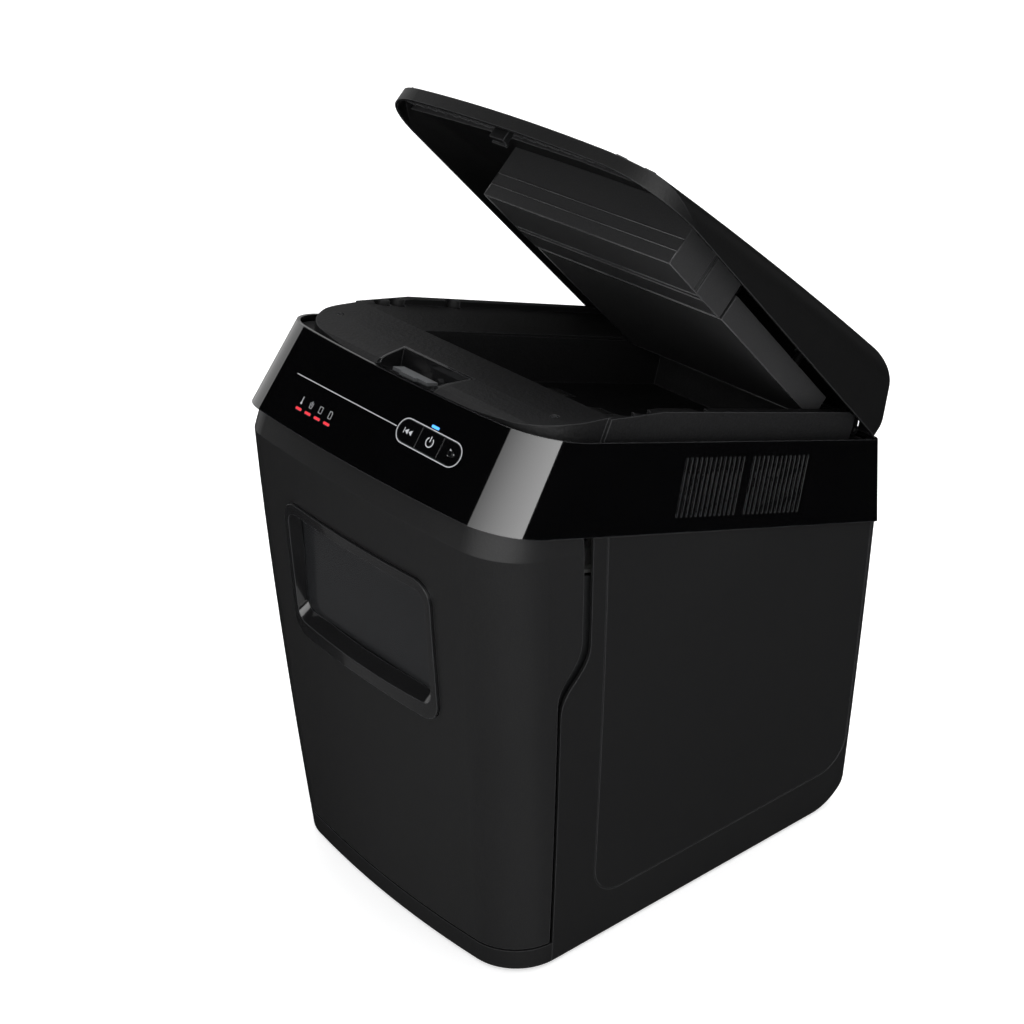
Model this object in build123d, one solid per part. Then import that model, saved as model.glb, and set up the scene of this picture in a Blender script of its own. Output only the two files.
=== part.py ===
from build123d import *
import math
import os

os.makedirs("parts", exist_ok=True)

# Frame: +Z up, +X to the right, the front faces -Y. The origin is on the floor under the body's centre.
# Head parts lie in the slope frame: x across, e forward from the rim's rear edge, n square to the rim.

# ---------------------------------------------------------------- driving dimensions, mm and degrees
body_width = 387.0
body_front = -238.0
body_back = 238.0
front_bow = 13.5
front_corner_radius = 53.0
back_corner_radius = 12.0
rear_bottom_radius = 50.0
foot_height = 4.0
wall = 3.0

taper_height = 474.0
taper_front = 21.0
taper_side = 20.0
taper_steps = 12
form_top = 575.0

head_slope = 16.84
rim_y = 231.0
rim_z = 415.0
band_height = 80.0
rim_front = 436.6
rim_back = -5.4
rim_half_width = 188.2
seam = 0.6

fit_gap = 0.3
running_gap = 0.05

lid_open = 30.0
hinge_e = 4.5
hinge_n = 0.5

# ---------------------------------------------------------------- shared frames and small helpers
slope_sin = math.sin(math.radians(head_slope))
slope_cos = math.cos(math.radians(head_slope))
slope_tan = slope_sin / slope_cos
slope_frame = Plane(origin=(0, rim_y, rim_z), x_dir=(1, 0, 0), z_dir=(0, slope_sin, slope_cos))

side_plane = Plane.YZ
half_width = body_width / 2


def block(x0, x1, y0, y1, z0, z1):
    """A box between two corners in the body's own frame."""
    return Pos((x0 + x1) / 2, (y0 + y1) / 2, (z0 + z1) / 2) * Box(x1 - x0, y1 - y0, z1 - z0)


def slab(x0, x1, e0, e1, n0, n1):
    """A box between two corners in the slope frame, where y is minus e."""
    return block(x0, x1, -e1, -e0, n0, n1)


def rod(radius, x0, x1, e, n):
    """A round bar along X in the slope frame."""
    return Pos((x0 + x1) / 2, -e, n) * Rot(0, 90, 0) * Cylinder(radius, x1 - x0)


def post(radius, x, e, n0, n1):
    """A round bar square to the rim in the slope frame."""
    return Pos(x, -e, (n0 + n1) / 2) * Cylinder(radius, n1 - n0)


def on_slope(shape):
    """Puts a shape made in the slope frame into the body's frame."""
    return slope_frame.location * shape


def save(shape, name):
    """Writes one sub-part, as a group where it is several loose pieces."""
    solids = shape.solids()
    export_step(solids[0] if len(solids) == 1 else Compound(children=list(solids)), f"parts/{name}.step")


def plan_face(half, front, back, bow, front_radius, back_radius):
    """The outline seen from above: bowed front, large front corners, small back corners."""
    shoulder = front + bow
    front_arc = ThreePointArc((-half, shoulder), (0, front), (half, shoulder))
    rest = Polyline((half, shoulder), (half, back), (-half, back), (-half, shoulder))
    face = make_face(Curve() + [front_arc, rest])
    corners = face.vertices()
    middle = (front + back) / 2
    face = fillet([v for v in corners if v.Y < middle], front_radius)
    corners = face.vertices()
    return fillet([v for v in corners if v.Y > back - 0.01], back_radius)


def extruded_profile(points, half):
    """A side profile given as (y, z) points, extruded to both sides of the centre."""
    face = side_plane * make_face(Polyline(*points, close=True))
    return extrude(face, amount=half, both=True)


# ---------------------------------------------------------------- body form
def taper(level, amount):
    """How far the wall has moved in at a height, growing towards the floor."""
    share = max(0.0, 1 - level / taper_height)
    return amount * share ** 1.5


def body_form(inset):
    """The body's outer form, moved in by an inset, from the base to above the rim."""
    sections = []
    base = foot_height + inset
    levels = [base + (taper_height - base) * step / taper_steps for step in range(taper_steps + 1)]
    for level in (*levels, form_top):
        half = half_width - taper(level, taper_side) - inset
        front = body_front + taper(level, taper_front) + inset
        radius = front_corner_radius - inset
        rear_radius = max(back_corner_radius - inset, 2)
        face = plan_face(half, front, body_back - inset, front_bow, radius, rear_radius)
        sections.append(Pos(0, 0, level) * face)
    form = loft(sections, ruled=True)
    far = 2 * body_front
    heel = rear_bottom_radius - inset
    arc_end = Vector(body_back - inset - heel, base)
    arc_start = Vector(body_back - inset, base + heel)
    centre = Vector(body_back - inset - heel, base + heel)
    middle = centre + Vector(heel * math.sqrt(0.5), -heel * math.sqrt(0.5))
    heel_arc = ThreePointArc(arc_start, middle, arc_end)
    high = form_top + 1
    outline = Polyline(arc_end, (far, base), (far, high), (body_back - inset, high), arc_start)
    profile = side_plane * make_face(Curve() + [heel_arc, outline])
    return form & extrude(profile, amount=body_width, both=True)


def below(level):
    """Everything under a level in the slope frame."""
    return on_slope(slab(-300, 300, -300, 800, -900, level))


outer_form = body_form(0)
inner_form = body_form(wall)
body_top = -band_height - seam

# ---------------------------------------------------------------- head band
band_front = rim_front + 29.2
band_back = rim_back - 26.1
rim_bow = front_bow / slope_cos
rim_corner = front_corner_radius + 1


def head_form(inset, low, high):
    """The head's form in the slope frame between two levels, moved in by an inset."""
    sections = []
    for level in (low, high):
        share = -level / band_height
        half = rim_half_width + (half_width - rim_half_width) * share - inset
        front = -(rim_front + (band_front - rim_front) * share) + inset
        back = -(rim_back + (band_back - rim_back) * share) - inset
        radius = rim_corner - inset
        face = plan_face(half, front, back, rim_bow, radius, max(back_corner_radius - inset, 2))
        sections.append(Pos(0, 0, level) * face)
    return loft(sections, ruled=True)


fascia_origin = (0, body_front, rim_z + (rim_y - body_front) * slope_tan - band_height / slope_cos)
rim_point = slope_frame.location * Pos(0, -rim_front, 0)
fascia_up = (rim_point.position - Vector(*fascia_origin)).normalized()
fascia_out = Vector(1, 0, 0).cross(fascia_up)
fascia_frame = Plane(origin=fascia_origin, x_dir=(1, 0, 0), z_dir=fascia_out)

key_pill_x = 78.0
key_pill_v = 48.0
key_pill_length = 77.0
key_pill_height = 20.0
key_splits = (66.0, 93.0)
key_names = ("reverse_key", "power_key", "forward_key")
key_centres = (52.5, 79.5, 106.5)
key_travel = 0.8
warning_xs = (-90.0, -75.0, -60.0, -45.0)
warning_v = 21.0
power_lens_x = 78.0
power_lens_v = 61.5
lens_length = 9.0
lens_height = 2.4
board_span = (-104.0, 124.0, 10.0, 64.0)
board_depth = 13.0
board_thickness = 1.6
switch_height = 3.5
switch_size = 6.0
stem_radius = 2.5
stem_root = 0.8

vent_low = -66.0
vent_high = -14.0
vent_count = 13
vent_pitch = 6.0
vent_width = 2.2
vent_starts = (184.0, 98.0)

inlet_x = 105.0
rocker_x = 148.0
rear_fitting_z = 372.0
inlet_size = (28.0, 21.0)
rocker_size = (30.0, 22.0)
flange_start = 237.8
flange_end = 239.3
flange_lap = 2.0


def on_fascia(shape):
    """Puts a shape made on the fascia plane into the body's frame."""
    return fascia_frame.location * shape


def key_prism(index, gap):
    """One key's outline as a prism through the fascia, with a gap taken off all round."""
    pill = SlotOverall(key_pill_length - 2 * gap, key_pill_height - 2 * gap)
    prism = extrude(Pos(key_pill_x, key_pill_v) * pill, amount=30, both=True)
    left = 0 if index == 0 else key_splits[index - 1] + gap
    right = 200 if index == 2 else key_splits[index] - gap
    return on_fascia(prism & block(left, right, 0, 100, -40, 40))


def lens_prism(x, v, gap):
    """A short lens bar's prism through the fascia."""
    bar = RectangleRounded(lens_length - 2 * gap, lens_height - 2 * gap, 0.8)
    return on_fascia(extrude(Pos(x, v) * bar, amount=30, both=True))


def vent_slots():
    """Two groups of thin upright slots through each side of the band."""
    slots = []
    for start in vent_starts:
        for index in range(vent_count):
            e = start + index * vent_pitch
            slots.append(slab(165, 205, e, e + vent_width, vent_low, vent_high))
            slots.append(slab(-205, -165, e, e + vent_width, vent_low, vent_high))
    return on_slope(Compound(children=slots))


band_outer = on_slope(head_form(0, -band_height, 0))
band_inner = on_slope(head_form(wall, -band_height - 1, 1))
band_skin = band_outer - band_inner


def rear_hole(x, size, gap):
    """A rectangular hole through the band's rear wall."""
    wide = size[0] / 2 + gap
    tall = size[1] / 2 + gap
    return block(x - wide, x + wide, 215, 245, rear_fitting_z - tall, rear_fitting_z + tall)


def head_band():
    """The gloss surround of the head, with its key opening, lens holes, vents and rear holes."""
    pill = SlotOverall(key_pill_length, key_pill_height)
    band = band_skin - on_fascia(extrude(Pos(key_pill_x, key_pill_v) * pill, amount=30, both=True))
    for x in warning_xs:
        band -= lens_prism(x, warning_v, 0)
    band -= lens_prism(power_lens_x, power_lens_v, 0)
    band -= vent_slots()
    band -= rear_hole(inlet_x, inlet_size, fit_gap)
    band -= rear_hole(rocker_x, rocker_size, fit_gap)
    return band


def control_key(index):
    """One key, flush with the fascia, with a stem that ends just above its switch."""
    cap = key_prism(index, fit_gap) & band_skin
    stem_low = switch_height - board_depth + key_travel + fit_gap
    stem_high = stem_root - wall
    stem = Cylinder(stem_radius, stem_high - stem_low)
    return cap + on_fascia(Pos(key_centres[index], key_pill_v, (stem_low + stem_high) / 2) * stem)


def warning_lenses():
    """Four warning lenses in the lower left of the fascia."""
    return Compound(children=[lens_prism(x, warning_v, 0.05) & band_skin for x in warning_xs])


def power_lens():
    """The lens of the power light on the top line of the keys."""
    return lens_prism(power_lens_x, power_lens_v, 0.05) & band_skin


def control_board():
    """The circuit board behind the fascia, with a push switch under each key."""
    board = block(*board_span, -board_depth - board_thickness, -board_depth)
    switch = Box(switch_size, switch_size, switch_height)
    for x in key_centres:
        board += Pos(x, key_pill_v, -board_depth + switch_height / 2) * switch
    for x in warning_xs:
        board += Pos(x, warning_v, -board_depth + 1) * Box(3.2, 2.8, 2)
    return on_fascia(board)


# ---------------------------------------------------------------- bin front and cabinet
joint_y = -164.0
joint_gap = 4.0
wing_y = -138.0
wing_gap = 10.0
wing_low = 286.0
wing_high = 345.0
bin_floor = 28.0
lip_top = 25.5
bevel_drop = 26.0
bevel_depth = 9.0
rear_panel_half = 172.0
side_flange = 150.0


def joint_region(y_low, y_high, z_low, z_high):
    """Everything in front of the joint line: straight, an S, then straight further back."""
    far = 2 * body_front
    bend = (z_high - z_low) * 0.5
    s_curve = Bezier((y_low, z_low), (y_low, z_low + bend), (y_high, z_high - bend), (y_high, z_high))
    above = ((y_high, z_high), (y_high, form_top), (far, form_top))
    outline = Polyline(*above, (far, -20), (y_low, -20), (y_low, z_low))
    return extrude(side_plane * make_face(Curve() + [s_curve, outline]), amount=body_width, both=True)


def bevelled(inset):
    """The slope frame's limit for the bin front: open below the crease, drawn in above it."""
    sections = []
    low = -band_height - bevel_drop
    for level, drawn in ((low, 0.0), (-band_height, bevel_depth)):
        shift = (level + band_height) * slope_tan
        front = -(band_front + shift) + drawn + inset
        half = half_width + 0.2 - inset - drawn * 0.2
        face = plan_face(half, front, 60, rim_bow, rim_corner - inset, 5)
        sections.append(Pos(0, 0, level) * face)
    return below(low) + on_slope(loft(sections, ruled=True))


bin_region = joint_region(joint_y, wing_y, wing_low, wing_high)
cabinet_region = joint_region(joint_y + joint_gap, wing_y + wing_gap, wing_low - 12, wing_high - 7)

bezel_half = 108.0
bezel_low = 258.0
bezel_high = 398.0
bezel_radius = 20.0
bezel_proud = 3.0
opening_half = 98.0
opening_low = 285.0
opening_high = 386.0
pane_y = -221.5
pane_thickness = 2.5
pane_margin = 6.0


def window_prism(half, low, high, radius, y0, y1):
    """A rounded rectangle on the front, extruded along Y."""
    face = Pos(0, (low + high) / 2) * RectangleRounded(2 * half, high - low, radius)
    prism = extrude(Plane.XZ * face, amount=y1 - y0)
    return Pos(0, y1, 0) * prism


def bin_front():
    """The bin's outer front, with its side wings, bevelled top band and window opening."""
    outer = outer_form & bevelled(0)
    inner = inner_form & bevelled(wall) & below(body_top - wall)
    inner &= block(-300, 300, -400, 400, bin_floor + wall, 900)
    front = (outer - inner) & bin_region & below(body_top)
    front &= block(-300, 300, -400, 400, bin_floor, 900)
    low = bezel_low - fit_gap
    high = bezel_high + fit_gap
    return front - window_prism(bezel_half + fit_gap, low, high, bezel_radius, -300, -180)


def window_bezel():
    """The gloss frame of the window, whose upper bar is the grip that pulls the bin out."""
    proud = body_form(-bezel_proud)
    back = body_form(9)
    ring = (proud - back) & window_prism(bezel_half, bezel_low, bezel_high, bezel_radius, -300, -180)
    low = (bezel_low + 6, opening_low)
    high = (bezel_high - 9, opening_high)
    faces = []
    for y, half, z0, z1, radius in (
        (-245, opening_half + 5, low[0], high[0], 14),
        (-218, opening_half, low[1], high[1], 10),
    ):
        outline = Pos(0, (z0 + z1) / 2) * RectangleRounded(2 * half, z1 - z0, radius)
        faces.append(Plane.XZ.offset(-y) * outline)
    pane_side = block(-300, 300, pane_y - fit_gap, 0, 0, form_top)
    return ring - loft(faces, ruled=True) - pane_side


def window_pane():
    """The smoked pane behind the bezel."""
    half = opening_half + pane_margin
    low = opening_low - pane_margin
    high = opening_high + pane_margin
    return window_prism(half, low, high, 12, pane_y, pane_y + pane_thickness)


tub_clear = 9.0
tub_wall = 2.5
tub_form = body_form(tub_clear)
tub_floor = bin_floor + wall + fit_gap
tub_top = -118.0


def bin_tub():
    """The bin itself: a tub with a sloping rim, notched behind the window."""
    outer = tub_form & below(tub_top) & block(-300, 300, -400, 400, tub_floor, 900)
    inner = body_form(tub_clear + tub_wall) & block(-300, 300, -400, 400, tub_floor + tub_wall, 900)
    half = opening_half + pane_margin + 1
    low = opening_low - pane_margin - 1
    high = opening_high + pane_margin + 1
    notch = window_prism(half, low, high, 12, -300, -200)
    return outer - inner - notch


panel_front = -112.0
panel_rear = 226.0
panel_low = 51.0
panel_radius = 34.0
groove_width = 1.6
groove_depth = 0.9


def panel_outline(grow):
    """The side panel's outline, rounded at its two lower corners."""
    front = panel_front - grow
    rear = panel_rear + grow
    low = panel_low - grow
    face = make_face(Polyline((front, low), (rear, low), (rear, form_top), (front, form_top), close=True))
    face = fillet([v for v in face.vertices() if v.Y < low + 1], panel_radius + grow)
    return extrude(side_plane * face, amount=body_width, both=True)


def panel_groove():
    """The fine groove cut into each side along the panel's outline."""
    band = panel_outline(groove_width / 2) - panel_outline(-groove_width / 2)
    return band - body_form(groove_depth)


def rear_region(grow):
    """The part of the shell that the rear panel takes up."""
    half = rear_panel_half + grow
    return block(-half, half, body_back - rear_bottom_radius - grow, 300, -10, 900)


def cabinet_side(hand):
    """One side of the cabinet, wrapping round to the rear and under the base."""
    shell = (outer_form - inner_form) & below(body_top)
    shell -= cabinet_region
    shell -= block(-side_flange, side_flange, -400, 400, -10, 900)
    shell -= rear_region(fit_gap)
    shell -= panel_groove()
    return shell & (block(0, 400, -400, 400, -10, 900) if hand > 0 else block(-400, 0, -400, 400, -10, 900))


def rear_panel():
    """The rear panel, curved under at its foot."""
    return (outer_form - inner_form) & below(body_top) & rear_region(0)


def base_tray():
    """The base: a front lip that follows the bin front, and the floor between the sides."""
    lip = (outer_form - inner_form) & block(-300, 300, -400, joint_y + joint_gap - fit_gap, -10, lip_top)
    heel = body_back - rear_bottom_radius
    floor_low = foot_height + wall
    floor = block(-164, 164, joint_y - 30, heel - 2, floor_low, floor_low + wall)
    keep = body_form(wall)
    return lip + (floor & keep)


foot_spots = ((-135, -150), (135, -150), (-135, 160), (135, 160))


def feet():
    """Four rubber feet under the base."""
    return Compound(children=[Pos(x, y, foot_height / 2) * Cylinder(13, foot_height) for x, y in foot_spots])


def bin_rails():
    """Two glide rails on the base floor that carry the bin."""
    low = foot_height + 2 * wall
    return Compound(children=[block(x - 6, x + 6, -150, 180, low, tub_floor - fit_gap) for x in (-105, 105)])


# ---------------------------------------------------------------- top deck
ledge_n = -6.0
deck_wall = 2.6
deck_clear = 0.3
tray_left = -78.0
tray_right = 168.0
tray_rear = 28.0
tray_front = 344.0
tray_floor = -30.0
plateau_half = 174.0
plateau_front = 421.0
plateau_rear = 23.0
collar_inner = 168.0
collar_outer = 178.0
collar_top = 23.0
collar_level_e = 285.0
collar_front = 350.0
throat_e = 285.0
throat_width = 8.0
paper_left = -75.0
paper_right = 165.0
scoop_es = (236.0, 305.0, 323.0)
scoop_radius = 8.5
pocket_front = 431.0
pocket_rear = 385.0
pocket_front_half = 39.0
pocket_rear_half = 49.0

deck_profile = (
    (-plateau_front - 4, ledge_n),
    (-plateau_front + 5, 0.5),
    (-plateau_front + 12, 3.5),
    (-385.0, 10.0),
    (-tray_front, 17.0),
    (-plateau_rear, 18.0),
    (-plateau_rear, ledge_n),
)


def deck_rise(inset, extra):
    """The raised middle of the deck, moved in by an inset."""
    points = [(y, n - inset) for y, n in deck_profile]
    points[-1] = (deck_profile[-1][0], ledge_n - extra)
    points[0] = (deck_profile[0][0], ledge_n - extra)
    points[1] = (deck_profile[1][0] + inset * 0.4, deck_profile[1][1] - inset)
    profile = extruded_profile(points, body_width)
    front = -plateau_front - 3 + inset
    plan = plan_face(plateau_half - inset, front, -plateau_rear - inset, rim_bow, 50 - inset, 8 - inset)
    return profile & extrude(Pos(0, 0, -60) * plan, amount=120)


def pocket_prism(grow, low, high):
    """The latch pocket's outline, wider at the rear."""
    points = (
        (-pocket_rear_half - grow, -pocket_rear + grow),
        (-pocket_front_half - grow, -pocket_front - grow),
        (pocket_front_half + grow, -pocket_front - grow),
        (pocket_rear_half + grow, -pocket_rear + grow),
    )
    return extrude(Pos(0, 0, low) * make_face(Polyline(*points, close=True)), amount=high - low)


tyre_half = 11.0
tyre_radius = 13.0
tyre_xs = (-45.0, 15.0, 75.0, 135.0)
roller_es = (230.0, 192.0)
roller_n = tray_floor - tyre_radius + 1.5
ear_xs = (-150.0, 150.0)
ear_half = 4.0
knuckle_radius = 5.0
pin_radius = 2.0
deck_screw_x = 150.0
deck_screw_e = 383.0
screw_radius = 3.6


def deck():
    """The textured top of the head: ledge, raised deck, paper tray, collars and hinge ears."""
    gap = wall + deck_clear
    plan = plan_face(rim_half_width - gap, -rim_front + gap, -rim_back - gap, rim_bow, rim_corner - gap, 9)
    top = extrude(Pos(0, 0, ledge_n - deck_wall) * plan, amount=deck_wall)
    top += deck_rise(0, 1)
    collar_points = (
        (-32, ledge_n - 1),
        (-32, collar_top - 5),
        (-40, collar_top),
        (-collar_level_e, collar_top),
        (-collar_front + 4, 16.5),
        (-collar_front, ledge_n - 1),
    )
    collar_profile = extruded_profile(collar_points, body_width)
    for hand in (-1, 1):
        inner = hand * collar_inner
        outer = hand * collar_outer
        top += collar_profile & slab(min(inner, outer), max(inner, outer), 0, 400, -20, 60)
    top -= deck_rise(deck_wall, 30)
    top += slab(tray_left - deck_wall, tray_right + deck_wall, tray_rear - deck_wall, tray_front + deck_wall,
                tray_floor - deck_wall, 14.5)
    for hand in (-1, 1):
        for e in scoop_es:
            top -= post(scoop_radius, hand * collar_inner, e, -2, 60)
    top -= slab(tray_left, tray_right, tray_rear, tray_front, tray_floor, 60)
    top -= slab(paper_left, paper_right, throat_e - throat_width / 2, throat_e + throat_width / 2, -60, 0)
    for e in roller_es:
        for x in tyre_xs:
            top -= slab(x - tyre_half - 1.5, x + tyre_half + 1.5, e - 12, e + 12, -60, tray_floor + 1)
    top -= pocket_prism(fit_gap, -30, 60)
    for x in ear_xs:
        top += rod(knuckle_radius, x - ear_half, x + ear_half, hinge_e, hinge_n)
        top += slab(x - ear_half, x + ear_half, hinge_e - 4, hinge_e + knuckle_radius, ledge_n - 1, hinge_n)
        top -= rod(pin_radius, x - ear_half - 1, x + ear_half + 1, hinge_e, hinge_n)
    for hand in (-1, 1):
        top -= post(screw_radius + running_gap, hand * deck_screw_x, deck_screw_e, 0, 40)
    return on_slope(top)


def latch_tray():
    """The gloss tray of the latch pocket, set into the front of the deck."""
    body = pocket_prism(0, -14, 60) & (deck_rise(0, 30) + slab(-60, 60, 380, 436, -20, -2.5))
    return on_slope(body - pocket_prism(-2.5, -11.5, 60))


catch_travel = 4.0
catch_front = 417.5
catch_depth = 15.0


def lid_catch():
    """The sprung catch plate, with a stepped front edge, that holds the lid's hook."""
    plate = slab(-24, 24, catch_front - catch_depth, catch_front - 3, -4.5, -1.5)
    plate += slab(-11, 11, catch_front - 4, catch_front, -4.5, -1.5)
    plate += slab(-20, 20, catch_front - catch_depth, catch_front - catch_depth + 4, -11.2, -4)
    return on_slope(plate)


def catch_spring():
    """The catch's spring, drawn as its separate coils at working length."""
    coils = []
    for index in range(4):
        e = catch_front - catch_depth - catch_travel - 1.2 - index * 1.6
        coils.append(Pos(0, -e, -8) * Rot(90, 0, 0) * Torus(2.6, 0.5))
    return on_slope(Compound(children=coils))


def deck_screws():
    """The countersunk screws that hold the deck."""
    screws = []
    for hand in (-1, 1):
        head = post(screw_radius, hand * deck_screw_x, deck_screw_e, 7.2, 9.4)
        x = hand * deck_screw_x
        for half, deep in ((3, 0.5), (0.5, 3)):
            head -= slab(x - half, x + half, deck_screw_e - deep, deck_screw_e + deep, 8.4, 12)
        screws.append(head + post(1.8, hand * deck_screw_x, deck_screw_e, -8, 7.4))
    return on_slope(Compound(children=screws))


# ---------------------------------------------------------------- lid, shaped closed and then swung open
lid_half = 188.2
lid_bottom = 0.6
lid_wall = 2.8
lid_front = 436.0
lid_back = 2.5
lid_corner = 75.0
shoulder = 25.0
crown = 2.5
lid_heel = (0.5, 0.6)
lid_heel_angle = 53.6
lid_heel_radius = 50.0
lid_ridge = ((84.0, 64.5), (260.5, 41.3), (437.0, 13.0))
heel_tangent_e = 80.0


def ridge_arc():
    """The centre (e, n) and the radius of the long arc that the lid's top follows."""
    arc = ThreePointArc(*lid_ridge)
    centre = arc.arc_center
    return centre.X, centre.Y, arc.radius


def lid_barrel(inset):
    """The lid's crowned top with its rounded shoulders, swept along the long arc."""
    centre_e, centre_n, ridge_radius = ridge_arc()
    half = lid_half - inset
    radius = shoulder - inset
    high = ridge_radius - inset
    edge = high - crown
    deep = high - 160
    right_arc = RadiusArc((half, edge - radius), (half - radius, edge), -radius)
    top_arc = ThreePointArc((half - radius, edge), (0, high), (-half + radius, edge))
    left_arc = RadiusArc((-half + radius, edge), (-half, edge - radius), -radius)
    rest = Polyline((-half, edge - radius), (-half, deep), (half, deep), (half, edge - radius))
    face = Plane.XZ * make_face(Curve() + [right_arc, top_arc, left_arc, rest])
    first = math.degrees(math.asin((-30 - centre_e) / ridge_radius))
    last = math.degrees(math.asin((460 - centre_e) / ridge_radius))
    barrel = revolve(Rot(first, 0, 0) * face, axis=Axis.X, revolution_arc=last - first)
    return Pos(0, -centre_e, centre_n) * barrel


def lid_side(inset):
    """The lid's side profile: a slanted back wall rounded over into the top."""
    centre_e, centre_n, ridge_radius = ridge_arc()
    tangent_n = centre_n + math.sqrt(ridge_radius**2 - (heel_tangent_e - centre_e) ** 2)
    fall = (heel_tangent_e - centre_e) / (tangent_n - centre_n)
    climb = math.tan(math.radians(lid_heel_angle))
    corner_e = (tangent_n - lid_heel[1] + fall * heel_tangent_e + climb * lid_heel[0]) / (climb + fall)
    corner_n = lid_heel[1] + climb * (corner_e - lid_heel[0])
    low = -40.0
    low_e = lid_heel[0] + (low - lid_heel[1]) / climb
    far_n = corner_n - fall * (450 - corner_e)
    face = make_face(Polyline((-low_e, low), (-corner_e, corner_n), (-450, far_n), (-450, low), close=True))
    face = fillet([v for v in face.vertices() if v.Y > corner_n - 1], lid_heel_radius)
    if inset > 0:
        face = offset(face, amount=-inset)
    return extrude(side_plane * face, amount=body_width, both=True)


def lid_form(inset, low):
    """The lid's closed form in the slope frame, drawn in by an inset."""
    form = lid_barrel(inset) & lid_side(inset)
    half = lid_half - inset
    plan = plan_face(half, -lid_front + inset, -lid_back - inset, rim_bow, lid_corner - inset, 12)
    return form & extrude(Pos(0, 0, low) * plan, amount=100)


open_lid = slope_frame.location * Pos(0, -hinge_e, hinge_n) * Rot(-lid_open, 0, 0) * Pos(0, hinge_e, -hinge_n)


def on_lid(shape):
    """Puts a shape made on the closed lid into the body's frame, swung open."""
    return open_lid * shape


lid_outer = lid_form(0, lid_bottom)
lid_hollow = lid_form(lid_wall, lid_bottom)
lid_middle = lid_form(lid_wall / 2, lid_bottom)
slot_width = 6.0
chute_rear = 253.5
chute_front = 340.0
chute_low = -26.0
presser_rear = 72.0
presser_front = 250.0
presser_low = -25.0
chute_wall = 2.5
guide_spots = ((-45, 100), (135, 100), (-45, 222), (135, 222))
guide_radius = 4.0


def manual_slot(low, high):
    """The hand-feed slot through the lid and its chute."""
    half = slot_width / 2
    return slab(paper_left + 3, paper_right - 3, throat_e - half, throat_e + half, low, high)


def lid_shell():
    """The lid's outer moulding, with its hand-feed slot, guide posts, hook and hinge knuckles."""
    shell = lid_outer - lid_hollow - slab(-190, 190, -5, 6.5, -1, 1.9)
    room = lid_middle + slab(-185, 185, 20, 432, -40, lid_bottom + 0.01)
    for x, e in guide_spots:
        shell += post(guide_radius, x, e, -5.5, 60) & room
    shell -= manual_slot(-40, 80)
    hook = slab(-9, 9, 420.5, 427, -6.5, 30) + slab(-9, 9, 418.2, 421, -8.5, -5.5)
    shell += hook & room
    for x in ear_xs:
        shell -= slab(x - ear_half - 10, x + ear_half + 10, -5, hinge_e + 8, -5, hinge_n + 9)
    for x in ear_xs:
        for side in (-1, 1):
            low, high = sorted((x + side * (ear_half + fit_gap), x + side * (ear_half + 7)))
            shell += rod(knuckle_radius, low, high, hinge_e, hinge_n)
            arm = slab(low, high, hinge_e, hinge_e + 13, hinge_n, hinge_n + 13)
            shell += arm & lid_outer
            shell -= rod(pin_radius + running_gap, low - 1, high + 1, hinge_e, hinge_n)
    return on_lid(shell)


def feed_chute():
    """The box under the lid that guides hand-fed sheets to the throat."""
    room = lid_hollow + slab(-185, 185, 20, 420, -40, lid_bottom + 0.01)
    chute = slab(paper_left, paper_right, chute_rear, chute_front, chute_low, 60) & room
    half = slot_width / 2
    left = paper_left + chute_wall
    right = paper_right - chute_wall
    low = chute_low + chute_wall
    chute -= slab(left, right, chute_rear + chute_wall, throat_e - half - chute_wall, low, 60)
    chute -= slab(left, right, throat_e + half + chute_wall, chute_front - chute_wall, low, 60)
    chute -= manual_slot(-40, 80)
    chute -= slab(paper_right - 2, paper_right + 5, throat_e + 9, throat_e + 15, chute_low - 1, 60)
    return on_lid(chute)


def presser_plate():
    """The sprung plate that holds the stack down on the rollers."""
    plate = slab(paper_left, paper_right, presser_rear, presser_front, presser_low, -1)
    rear = presser_rear + chute_wall
    front = presser_front - chute_wall
    plate -= slab(paper_left + chute_wall, paper_right - chute_wall, rear, front, presser_low + 3, 5)
    for x, e in guide_spots:
        plate += post(7.5, x, e, presser_low + 1, 3.5)
        plate -= post(guide_radius + running_gap, x, e, presser_low + 3, 10)
    return on_lid(plate)


def presser_springs():
    """The presser's four springs, drawn as separate coils at their fully pressed length."""
    coils = []
    for x, e in guide_spots:
        for index in range(5):
            coils.append(Pos(x, -e, 20.2 + index * 2.4) * Torus(6.2, 0.8))
    return on_lid(Compound(children=coils))


def hinge_pins():
    """The two steel pins of the lid's hinge."""
    half = ear_half + 6.5
    pins = [rod(pin_radius, x - half, x + half, hinge_e, hinge_n) for x in ear_xs]
    return on_slope(Compound(children=pins))


# ---------------------------------------------------------------- cutting unit
cutter_rear_e = 265.0
cutter_front_e = 305.0
cutter_n = -60.0
disc_radius = 22.0
disc_tooth = 2.0
core_radius = 16.5
shaft_radius = 8.0
disc_pitch = 8.0
disc_width = 3.6
disc_count = 28
disc_points = 12
first_disc = -70.0
plate_left = -81.0
plate_right = 171.0
plate_thickness = 3.0
plate_low = -112.0
plate_high = -34.5
plate_front = 336.0
plate_rear = 118.0
right_plate_rear = 178.0
bush_radius = 12.0
small_shaft = 4.0


def toothed_disc():
    """The outline of one cutting disc."""
    points = []
    for index in range(2 * disc_points):
        radius = disc_radius if index % 2 == 0 else disc_radius - disc_tooth
        angle = math.pi * index / disc_points
        points.append((radius * math.cos(angle), radius * math.sin(angle)))
    return make_face(Polyline(*points, close=True))


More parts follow.
